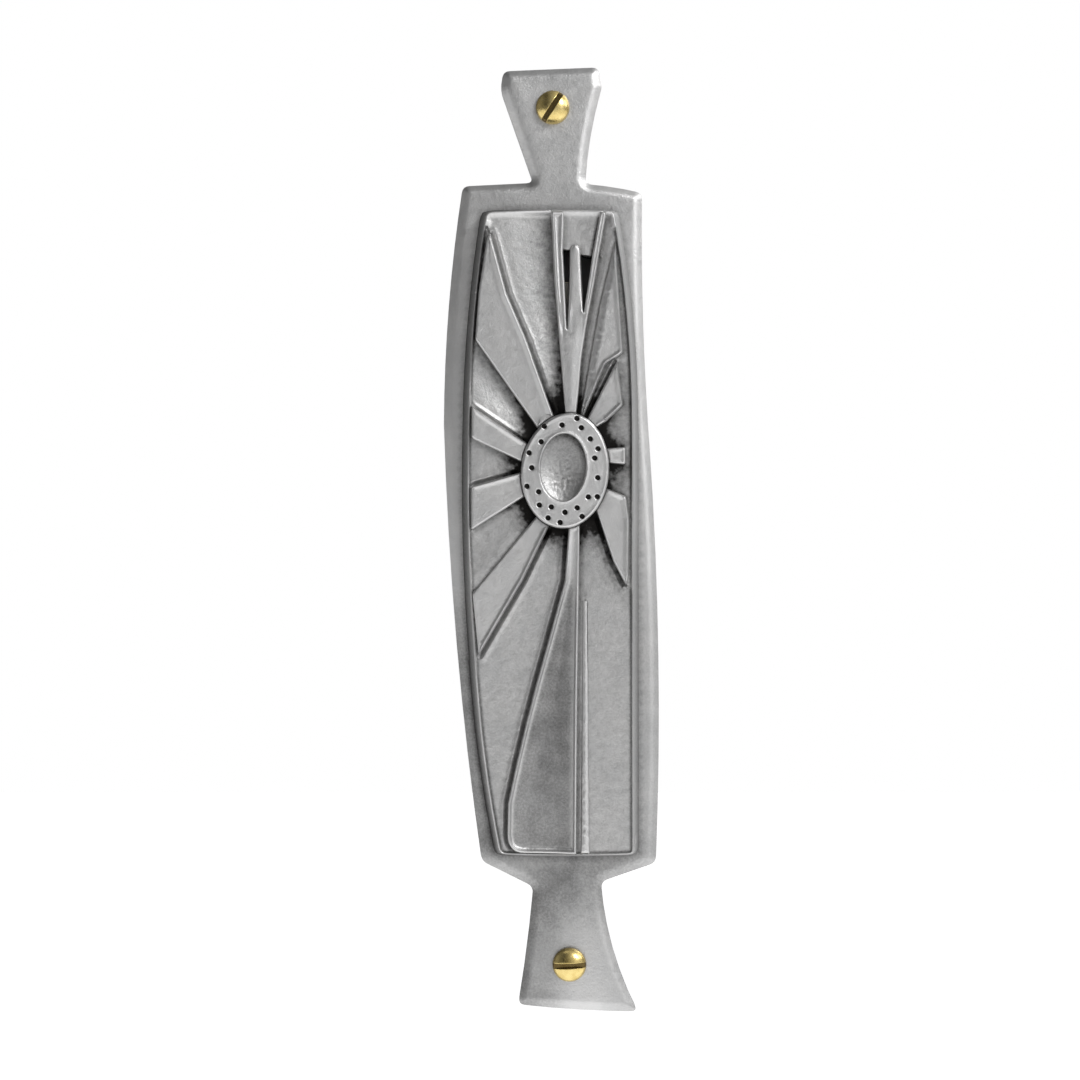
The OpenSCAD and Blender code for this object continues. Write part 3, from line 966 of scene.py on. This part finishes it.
def build_ring(material):
    """Medallion ring with a satin top, rounded edges and its ring of drilled dots."""
    seat, crest = depth_range("medallion_ring")
    outer, inner = finer(RING[0], 0.22), finer(RING[1], 0.22)
    dots = [p for p in cap_loops("medallion_ring", 12.6) if abs(area(p)) < 2]
    dots = [oval(*p.mean(0), 0.45, 0.45, 28) for p in dots]
    lips = [oval(*p.mean(0), r, r, 28) for p in dots for r in (0.49, 0.55, 0.62)]
    extra = [
        edge_points(outer, (0.03, 0.09, 0.18, 0.3, 0.45, 0.65)),
        outside_points(inner, (0.03, 0.08, 0.16, 0.28, 0.45)),
        grid_points(outer, 0.3, 0.75),
    ]
    extra = np.concatenate(extra + lips)
    extra = extra[distance(extra, dots)[0] > 0.02]
    verts, tri = triangulate([outer, inner] + dots, extra)
    mid = verts[tri].mean(1)
    label = ring_label(mid, outer, inner)
    label[distance(mid, dots)[1] & (label == 0)] = 1

    def top(p):
        a = distance(p, [outer])[0]
        b = distance(p, [inner])[0]
        c = distance(p, dots)[0]
        lift = 0.08 * np.exp(-(((a - 0.45) / 0.3) ** 2)) + 0.08 * np.exp(-(((b - 0.3) / 0.2) ** 2))
        h = crest - 0.10 + lift - round_edge(a, 0.5, 0.7) - round_edge(b, 0.3, 0.4)
        crown = 0.22 * ((p[:, 0] - MIDDLE[0]) / 8) ** 2
        return h - crown - round_edge(c, 0.18, 0.16) + 0.02 * ripple(p, 1.5)

    def hole(p):
        return crest - 0.62 - 0.1 * step(0, 0.4, distance(p, dots)[0])

    bottoms = [level(seat)] * 2
    obj = solid("medallion_ring_cast", verts, tri, label, [top, hole], bottoms)

    # The drilled dots' floors dark, partly antique patina and partly painted shade; the ring's
    # sides painted darker towards their foot.
    def patina_and_shade(co):
        c, inside, _ = distance(co[:, [0, 2]], dots)
        depth = -co[:, 1]
        low = np.clip((crest - 0.35 - depth) / 0.5, 0, 1)
        side = np.clip((12.2 - depth) / 1.2, 0, 1)
        return np.where(inside | (c < 0.02), low * 1.8, side * 0.8)

    darken(obj, patina_and_shade)
    place(obj, "case", "cast_metal", material, "medallion_ring")


def outside_points(loop, gaps):
    """Points just outside a loop at each gap."""
    n = normals(loop)
    return np.concatenate([loop + n * t for t in gaps])


def build_dish(material):
    """Hollow dish in the medallion, with a pitted floor."""
    seat = depth_range("medallion_dish")[0]
    loop = finer(cap_loops("medallion_dish", seat)[0], 0.25)
    extra = np.concatenate([edge_points(loop, (0.08, 0.2)), grid_points(loop, 0.2, 0.25)])
    verts, tri = triangulate([loop], extra)
    label = np.where(distance(verts[tri].mean(1), [loop])[1], 0, -1)
    mid, half = loop.mean(0), (loop.max(0) - loop.min(0)) / 2

    def top(p):
        r2 = np.clip((((p - mid) / half) ** 2).sum(1), 0, 1)
        low = step(0.3, -0.7, (p[:, 1] - mid[1]) / half[1])
        pit = (0.10 * ripple(p, 0.6, 1.0) + 0.06 * ripple(p, 0.3, 4.0)) * (0.25 + 0.75 * low)
        return 11.15 + 0.95 * r2**1.2 + pit * (1 - 0.8 * r2)

    obj = solid("medallion_dish_cast", verts, tri, label, [top], [level(seat)])

    # Dark specks of pits low in the dish; painted shade on its upper right rim and its upper half;
    # and an even darkening over all of it.
    def patina_and_shade(co):
        p = co[:, [0, 2]]
        r2 = (((p - mid) / half) ** 2).sum(1)
        rise = (p - mid)[:, 1] / half[1]
        speck = np.clip(-ripple(p, 0.45, 1.0) * 1.4, 0, 1) * step(0.5, -0.5, rise)
        shade_side = (p - mid) @ np.array([0.8, 0.45])
        rim = 0.40 * step(0.5, 1.0, r2) * step(-2, 3, shade_side)
        return 0.45 * speck * (1 - r2) + rim + (0.22 + 0.26 * step(-0.2, 0.8, rise))

    darken(obj, patina_and_shade)
    place(obj, "case", "cast_metal", material, "medallion_dish")


# ---------------------------------------------------------------- screws, cover, scroll


def wall_screw(node, turn, material):
    """Brass round-head screw: slotted dome, plain neck, coarse thread and point."""
    low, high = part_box(node)
    cx, cz = axis_of(node)
    tip = -high.y / MM
    under, size = PLATE_T, (high.x - low.x) / 2 / MM
    loop = oval(0, 0, size, size, 72)
    across = np.array([-math.sin(turn), math.cos(turn)])
    along = np.array([math.cos(turn), math.sin(turn)])
    lines = []
    for v in (0.40, 0.448, 0.452, 0.48, 0.52, 0.58):
        for s in (-v, v):
            span = np.arange(-size, size, 0.12)[:, None]
            lines.append(along * span + across * s)
    lines = np.concatenate(lines + [grid_points(loop, 0.24, 0.1)])
    lines = lines[np.hypot(*lines.T) < size - 0.03]
    extra = np.concatenate([lines, edge_points(loop, (0.05, 0.12, 0.22))])
    verts, tri = triangulate([loop], extra)
    label = np.zeros(len(tri), int)

    def top(p):
        r = np.hypot(*p.T) / size
        h = under + 0.25 + 1.9 * np.sqrt(np.clip(1 - r**2.3, 0, 1))
        v = np.abs(p @ across)
        h = h - round_edge(v - 0.45, 0.09, 0.09)
        return np.where(v < 0.45, np.minimum(h, under + 1.02), h)

    head = solid("head", verts, tri, label, [top], [level(under)], shade=40)
    head.data.transform(shift(cx, cz))
    pitch, root, crest = 1.25, 1.12, 1.48
    rows = [(1.68, under), (1.68, -0.8), (1.3, -1.0)]
    depths = np.arange(-1.05, tip + 3.0, -pitch / 12)
    rows += [(root, d) for d in depths]
    rows += [(root * (d - tip) / 3.0 + 0.03, d) for d in np.arange(tip + 2.95, tip, -0.1)]
    rows.append((0.03, tip))

    def thread(t, depth):
        if depth > -1.02:
            return 0.0
        phase = (depth / pitch + t / (2 * math.pi)) % 1.0
        fade = min(1.0, (-1.02 - depth) / 1.2, max(0.0, (depth - tip) / 2.5))
        return (crest - root) * max(0.0, 1 - abs(phase - 0.5) / 0.24) * fade

    shank = lathe("shank", (cx, cz), rows, 28, wobble=thread, shade=50)
    obj = join(head, [shank])
    obj.name = node + "_brass"

    # painted shade: the slot's floor dark, and a dark ring round the foot of the head where it
    # meets the plate
    def patina_and_shade(co):
        q = np.stack([co[:, 0] - cx, co[:, 2] - cz], 1)
        v = np.abs(q @ across)
        slot_shade = (v < 0.46) * (-co[:, 1] < under + 1.1) * (-co[:, 1] > under + 0.3)
        rim = np.clip((np.hypot(*q.T) - size + 0.25) / 0.3, 0, 1) * (-co[:, 1] > under - 0.1)
        return 0.95 * slot_shade + 0.45 * rim

    darken(obj, patina_and_shade)
    place(obj, node, "brass", material, node)


def shift(x, z):
    """Moves a mesh made round the origin to a screw's axis."""
    return Matrix.Translation((x * MM, 0, z * MM))


def cover_screw(node, material):
    """Small countersunk screw: cross recess in its face, fine thread."""
    low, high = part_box(node)
    cx, cz = axis_of(node)
    end = -low.y / MM
    big = (high.x - low.x) / 2 / MM
    loop = oval(0, 0, big, big, 48)
    cross = cross_loop(1.0, 0.2)
    wide = cross_loop(1.06, 0.25)
    extra = np.concatenate([grid_points(loop, 0.3, 0.15), finer(wide, 0.3)])
    extra = extra[distance(extra, [cross])[0] > 0.03]
    verts, tri = triangulate([loop, finer(cross, 0.3)], extra)
    label = np.where(distance(verts[tri].mean(1), [cross])[1], 1, 0)

    def face(p):
        r = np.hypot(*p.T) / big
        return 0.02 + 0.10 * step(0.86, 1.0, r)

    def recess(p):
        return 0.45 + 0.25 * (1 - np.clip(np.hypot(*p.T), 0, 1))

    top = [level(1.0)] * 2
    head = solid("head", verts, tri, label, top, [face, recess], shade=40)
    taper(head, big)
    head.data.transform(shift(cx, cz))
    pitch = 0.4
    rows = [(0.98, 0.9)]
    rows += [(0.8, d) for d in np.arange(1.05, end - 0.3, pitch / 8)]
    rows += [(0.66, end - 0.1), (0.55, end)]

    def thread(t, depth):
        if depth < 1.0 or depth > end - 0.2:
            return 0.0
        phase = (depth / pitch + t / (2 * math.pi)) % 1.0
        return 0.18 * (1 - abs(phase - 0.5) * 2)

    shank = lathe("shank", (cx, cz), rows, 24, wobble=thread, shade=50)
    obj = join(head, [shank])
    obj.name = node + "_zinc"
    place(obj, node, "steel", material, node)


def taper(obj, big):
    """Draws a head's inner end in, so that it is countersunk."""
    for v in obj.data.vertices:
        depth = -v.co.y / MM
        if depth > 0.6:
            v.co.x *= 1.0 / big
            v.co.z *= 1.0 / big


def cross_loop(reach, half):
    """A plus-shaped loop."""
    r, h = reach, half
    pts = [(r, -h), (r, h), (h, h), (h, r), (-h, r), (-h, h)]
    pts += [(-r, h), (-r, -h), (-h, -h), (-h, -r), (h, -r), (h, -h)]
    return np.array(pts, float)


def build_cover(material):
    """Sheet cover: edges lightly rounded by tumbling, two countersunk holes."""
    back, front = depth_range("back_cover")
    outer = cap_loops("back_cover", front)
    edge = finer(outer[0], 0.8)
    hole, half_way, sunk = 1.1, 1.45, 1.95  # radii of the hole and its countersink
    holes = [oval(*c, hole, hole, 40) for c in post_centres()]
    sinks = [oval(*c, r, r, 40) for c in post_centres() for r in (half_way, sunk)]
    rows = edge_points(edge, (0.05, 0.14, 0.26, 0.6))
    extra = np.concatenate([rows, grid_points(edge, 2.2, 1.2)])
    extra = extra[distance(extra, sinks)[0] > 0.3]
    extra = np.concatenate([extra] + sinks[0::2])
    verts, tri = triangulate([edge] + holes + sinks[1::2], extra)
    mid = verts[tri].mean(1)
    label = np.where(distance(mid, [edge])[1], 0, -1)
    for p in holes:
        label[distance(mid, [p])[1]] = -1

    def bottom(p):
        d = distance(p, [edge])[0]
        c = np.min([np.hypot(*(p - np.array(q)).T) for q in post_centres()], axis=0)
        sink = np.clip((sunk - c) / 0.85, 0, 1) * 0.8
        return back + 0.01 + round_edge(d, 0.28, 0.25) + sink

    obj = solid("back_cover_sheet", verts, tri, label, [level(front)], [bottom])
    # painted shade: the cover's inner face, which faces into the case, darkened
    darken(obj, lambda co: 0.75 * (-co[:, 1] > front - 0.05))
    place(obj, "back_cover", "cover_sheet", material, "back_cover")


def tube(node):
    """Axis (x, y), ends (z) and radius of a standing tube, in mm."""
    low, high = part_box(node)
    x, y = (low.x + high.x) / 2 / MM, (low.y + high.y) / 2 / MM
    return x, y, low.z / MM, high.z / MM, (high.x - low.x) / 2 / MM


def wound_faces(rows, n):
    """Faces of a wound sheet: each row has n points outside and then n inside."""
    faces = []
    for j in range(rows - 1):
        a, b = j * 2 * n, (j + 1) * 2 * n
        for i in range(n - 1):
            faces.append([a + i, a + i + 1, b + i + 1, b + i])
            faces.append([a + n + i, b + n + i, b + n + i + 1, a + n + i + 1])
        faces.append([a, b, b + n, a + n])
        faces.append([a + n - 1, a + 2 * n - 1, b + 2 * n - 1, b + n - 1])
    for base, flip in ((0, False), ((rows - 1) * 2 * n, True)):
        for i in range(n - 1):
            quad = [base + i, base + n + i, base + n + i + 1, base + i + 1]
            faces.append(quad[::-1] if flip else quad)
    return faces


def build_roll(material):
    """Parchment wound into a spiral roll of thin turns."""
    cx, cy, z0, z1, radius = tube("parchment_roll")
    outer, thick, turns, pitch, around = radius - 0.06, 0.2, 4.6, 0.3, 60
    steps = int(turns * around)
    levels = np.linspace(z0 + 0.1, z1 - 0.1, 60)
    points = []
    for z in levels:
        for side in (0, 1):
            for i in range(steps + 1):
                t = 2 * math.pi * i / around
                wave = 0.02 * noise.noise(Vector((i / 17, z / 9, 0)))
                r = outer - pitch * i / around - thick * side + wave
                skew = 0.25 * noise.noise(Vector((i / 40, 3.0, 0))) * (z in (levels[0], levels[-1]))
                points.append((cx + r * math.cos(t), cy + r * math.sin(t), z + skew * 0.3))
    faces = wound_faces(len(levels), steps + 1)
    obj = mesh_object("parchment_spiral", points, faces, 50)
    outward(obj)
    place(obj, "scroll", "parchment", material, "parchment_roll")


def build_sleeve(material):
    """Clear film wrapped round the roll, with an overlap seam and softly waved ends."""
    cx, cy, z0, z1, radius = tube("clear_sleeve")
    outer, film_t, turns = radius - 0.02, 0.09, 1.12
    n, rows = 84, 40
    points = []
    for j in range(rows):
        f = j / (rows - 1)
        way = 1 if j == 0 else -1 if j == rows - 1 else 0
        for side in (0, 1):
            for i in range(n + 1):
                t = 2 * math.pi * turns * i / n + 0.6
                r = outer - 0.1 * i / n - film_t * side
                end = 0.5 + 0.3 * math.sin(3 * t)
                z = z0 + 0.05 + (z1 - z0 - 0.1) * f + way * end * 0.3
                points.append((cx + r * math.cos(t), cy + r * math.sin(t), z))
    obj = mesh_object("clear_sleeve_film", points, wound_faces(rows, n + 1), 50)
    outward(obj)
    place(obj, "scroll", "clear_film", material, "clear_sleeve")


# ---------------------------------------------------------------- stage, light, camera


def build_stage():
    """Pale floor well below the object."""
    mesh = bpy.data.meshes.new("floor")
    s, z = 4.0, -0.45
    mesh.from_pydata([(-s, -s, z), (s, -s, z), (s, s, z), (-s, s, z)], [], [(0, 1, 2, 3)])
    floor = bpy.data.objects.new("floor", mesh)
    bpy.context.scene.collection.objects.link(floor)
    n = Nodes("pale_floor")
    n.set(Base_Color=(0.9, 0.9, 0.9, 1), Roughness=0.9)
    n.shader.inputs["Emission Color"].default_value = (1, 1, 1, 1)
    n.shader.inputs["Emission Strength"].default_value = 0.75
    mesh.materials.append(n.material)


# How bright the studio is for reflections, from the left (-1) to the right (1).
PROFILE = (
    (-1.0, 0.29),
    (-0.75, 0.17),
    (-0.4, 0.05),
    (-0.12, 0.22),
    (0.0, 0.32),
    (0.25, 0.60),
    (0.5, 0.90),
    (0.7, 0.76),
    (1.0, 0.40),
)


def build_world():
    """White to the eye, brighter to the right and above than to the left for reflections."""
    world = bpy.data.worlds.new("studio")
    bpy.context.scene.world = world
    world.use_nodes = True
    tree = world.node_tree
    tree.nodes.clear()
    add, link = tree.nodes.new, tree.links.new
    coord = add("ShaderNodeTexCoord")
    split = add("ShaderNodeSeparateXYZ")
    link(coord.outputs["Generated"], split.inputs[0])

    def ramp(axis, *values):
        node = add("ShaderNodeMapRange")
        link(split.outputs[axis], node.inputs[0])
        for socket, value in zip(node.inputs[1:], values):
            socket.default_value = value
        return node.outputs[0]

    def multiply(a, b):
        node = add("ShaderNodeMath")
        node.operation = "MULTIPLY"
        link(a, node.inputs[0])
        link(b, node.inputs[1])
        return node.outputs[0]

    side = add("ShaderNodeValToRGB")
    link(ramp("X", -1.0, 1.0, 0.0, 1.0), side.inputs[0])
    stops = side.color_ramp.elements
    for x, _ in PROFILE[1:-1]:
        stops.new((x + 1) / 2)
    for stop, (x, glow) in zip(stops, PROFILE):
        stop.position = (x + 1) / 2
        stop.color = (glow, glow, glow, 1)
    rise = ramp("Z", -0.4, 0.4, 0.55, 1.35)
    behind = ramp("Y", 0.1, 1.0, 1.0, 0.5)
    glow = add("ShaderNodeBackground")
    link(multiply(multiply(side.outputs[0], behind), rise), glow.inputs["Strength"])
    white = add("ShaderNodeBackground")
    white.inputs["Color"].default_value = (1, 1, 1, 1)
    path = add("ShaderNodeLightPath")
    mix = add("ShaderNodeMixShader")
    link(path.outputs["Is Camera Ray"], mix.inputs[0])
    link(glow.outputs[0], mix.inputs[1])
    link(white.outputs[0], mix.inputs[2])
    out = add("ShaderNodeOutputWorld")
    link(mix.outputs[0], out.inputs[0])


def area_light(name, at, size, power):
    """A soft square light aimed at the object."""
    data = bpy.data.lights.new(name, "AREA")
    data.size = size
    data.energy = power
    obj = bpy.data.objects.new(name, data)
    obj.location = at
    obj.rotation_euler = (-Vector(at)).to_track_quat("-Z", "Y").to_euler()
    bpy.context.scene.collection.objects.link(obj)


def build_camera():
    """Straight-on view at the photograph's framing."""
    data = bpy.data.cameras.new("camera")
    data.sensor_width = 36
    data.lens = 83.5
    cam = bpy.data.objects.new("camera", data)
    cam.location = (-0.00378, -0.453, -0.0007)
    cam.rotation_euler = (math.pi / 2, 0, 0)
    bpy.context.scene.collection.objects.link(cam)
    bpy.context.scene.camera = cam


def main():
    metal = cast_metal("cast_metal")
    gold = brass("brass")
    plated = zinc("zinc_plate")
    build_plate(metal)
    build_walls(metal)
    build_panel(metal)
    for name in BESIDE:
        build_ray(name, metal)
    build_ring(metal)
    build_dish(metal)
    wall_screw("top_screw", math.radians(57), gold)
    wall_screw("bottom_screw", math.radians(2), gold)
    cover_screw("cover_screw_upper", plated)
    cover_screw("cover_screw_lower", plated)
    build_cover(sheet_metal("cover_sheet"))
    build_roll(parchment("parchment"))
    build_sleeve(film("clear_film"))
    build_stage()
    build_world()
    area_light("key", (0.55, -0.6, 0.55), 0.35, 4.1)
    area_light("strip", (0.6, -0.12, 0.35), 0.3, 0.7)
    build_camera()
    bpy.context.scene.view_settings.view_transform = "Standard"


main()
